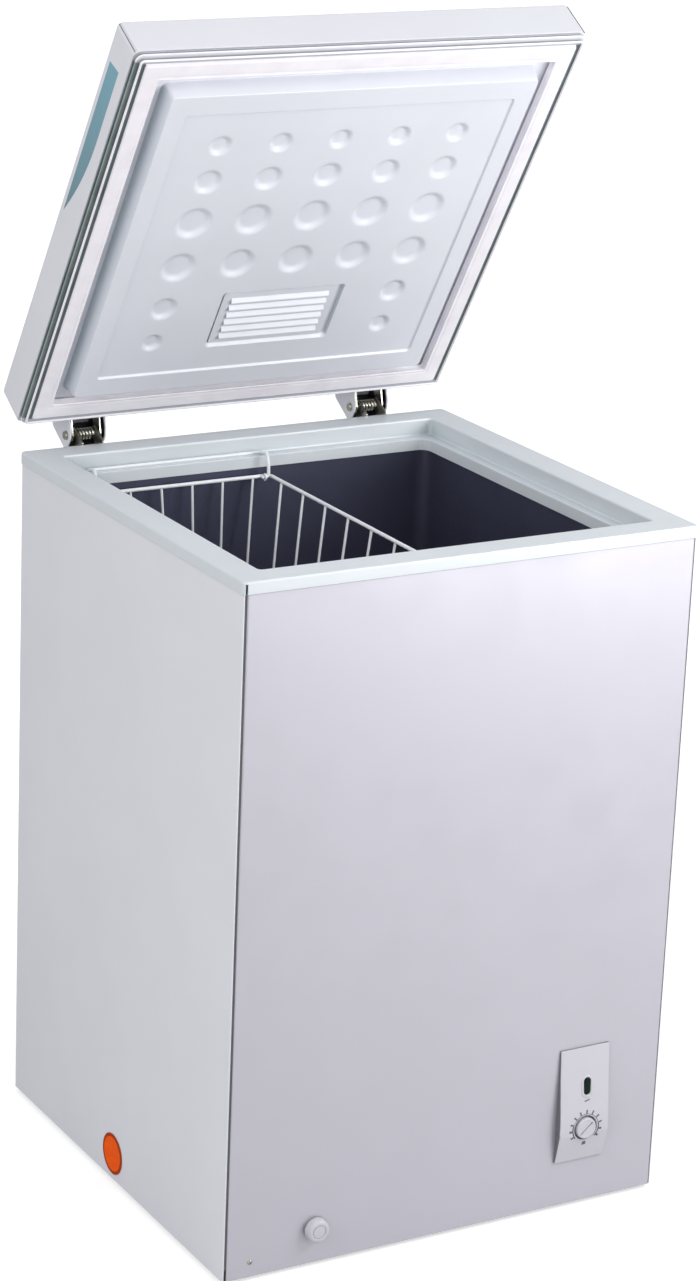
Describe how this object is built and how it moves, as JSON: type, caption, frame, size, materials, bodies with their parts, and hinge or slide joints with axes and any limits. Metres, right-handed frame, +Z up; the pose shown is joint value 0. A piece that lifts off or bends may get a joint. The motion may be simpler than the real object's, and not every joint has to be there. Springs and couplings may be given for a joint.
{
  "type": "chest freezer",
  "caption": "Upright-proportioned chest freezer with a hinged foam-filled lid, hanging wire basket, front thermostat, drain outlet and a sealed cooling circuit.",
  "frame": {"origin": "on the floor under the centre of the cabinet, 3.5 mm below the middle of the base plate's pressed pad", "axes": "+X to the right seen from the front, +Y to the back where the lid hinges are, +Z up"},
  "size_m": [0.56, 0.6208, 1.3148],
  "materials": {
    "cabinet_paint": "semi-gloss white enamel on sheet steel",
    "front_paint": "satin silver-white enamel on sheet steel",
    "white_plastic": "moulded white plastic, low gloss",
    "lid_plastic": "vacuum-formed white plastic sheet, satin",
    "tank_liner": "dark coated metal sheet, fine embossed grain",
    "foam": "rigid polyurethane foam",
    "gasket": "soft white vinyl bellows seal",
    "black_paint": "black paint",
    "black_rubber": "matte black rubber",
    "aluminium_tube": "drawn tube",
    "copper_tube": "drawn copper tube",
    "zinc_steel": "bright zinc plating",
    "coated_wire": "steel wire with smooth white plastic coating",
    "green_lens": "dark green translucent lens",
    "orange_label": "printed film, satin"
  },
  "bodies": {
    "cabinet": {"front_panel": "front_paint", "left_side_panel": "cabinet_paint", "right_side_panel": "cabinet_paint", "back_panel": "cabinet_paint", "rear_cover": "cabinet_paint", "cord_gland": "black_rubber", "side_vent_grille": "white_plastic", "base_plate": "black_paint", "compressor_tray": "black_paint", "foot_front_left": "black_rubber", "foot_front_right": "black_rubber", "foot_back_left": "black_rubber", "foot_back_right": "black_rubber", "inner_liner": "tank_liner", "insulation_foam": "foam", "collar": "white_plastic", "evaporator_coil": "aluminium_tube", "condenser_coil": "copper_tube", "compressor": "black_paint", "compressor_grommet_1": "black_rubber", "compressor_grommet_2": "black_rubber", "compressor_grommet_3": "black_rubber", "compressor_grommet_4": "black_rubber", "relay_cover": "black_paint", "filter_drier": "copper_tube", "discharge_pipe": "copper_tube", "suction_pipe": "copper_tube", "control_panel": "white_plastic", "indicator_lens": "green_lens", "thermostat_body": "white_plastic", "drain_outlet": "white_plastic", "drain_tube": "white_plastic", "round_label": "orange_label", "hinge_base_left": "zinc_steel", "hinge_pin_left": "zinc_steel", "hinge_spring_left": "zinc_steel", "hinge_base_right": "zinc_steel", "hinge_pin_right": "zinc_steel", "hinge_spring_right": "zinc_steel"},
    "lid": {"lid_shell": "cabinet_paint", "lid_foam": "foam", "lid_liner": "lid_plastic", "lid_louvre": "lid_plastic", "lid_gasket": "gasket", "hinge_arm_left": "cabinet_paint", "hinge_arm_right": "cabinet_paint"},
    "thermostat_knob": {"thermostat_knob": "white_plastic", "thermostat_shaft": "zinc_steel"},
    "drain_cap": {"drain_cap": "white_plastic"},
    "drain_plug": {"drain_plug": "white_plastic"},
    "basket": {"basket_rim": "coated_wire", "basket_front_grid": "coated_wire", "basket_back_grid": "coated_wire", "basket_left_grid": "coated_wire", "basket_right_grid": "coated_wire", "basket_floor_grid": "coated_wire"},
    "bail_back": {"basket_bail_back": "coated_wire"},
    "bail_front": {"basket_bail_front": "coated_wire"}
  },
  "joints": [
    {"name": "lid_hinge", "type": "hinge", "parent": "cabinet", "child": "lid", "pos_m": [0, 0.2973, 0.8031], "axis": [-1, 0, 0], "range_deg": [-58.5, 16.5]},
    {"name": "thermostat_turn", "type": "hinge", "parent": "cabinet", "child": "thermostat_knob", "pos_m": [0.1765, -0.278, 0.101], "axis": [0, 1, 0], "range_deg": [-135, 135]},
    {"name": "drain_cap_pull", "type": "slide", "parent": "cabinet", "child": "drain_cap", "axis": [0, -1, 0], "range_m": [0, 0.03]},
    {"name": "drain_plug_lift", "type": "slide", "parent": "cabinet", "child": "drain_plug", "axis": [0, 0, 1], "range_m": [0, 0.04]},
    {"name": "basket_slide", "type": "slide", "parent": "cabinet", "child": "basket", "axis": [1, 0, 0], "range_m": [0, 0.205]},
    {"name": "bail_back_fold", "type": "hinge", "parent": "basket", "child": "bail_back", "pos_m": [-0.1035, 0.2078, 0.755], "axis": [1, 0, 0], "range_deg": [0, 90]},
    {"name": "bail_front_fold", "type": "hinge", "parent": "basket", "child": "bail_front", "pos_m": [-0.1035, -0.2078, 0.755], "axis": [-1, 0, 0], "range_deg": [0, 90]}
  ]
}
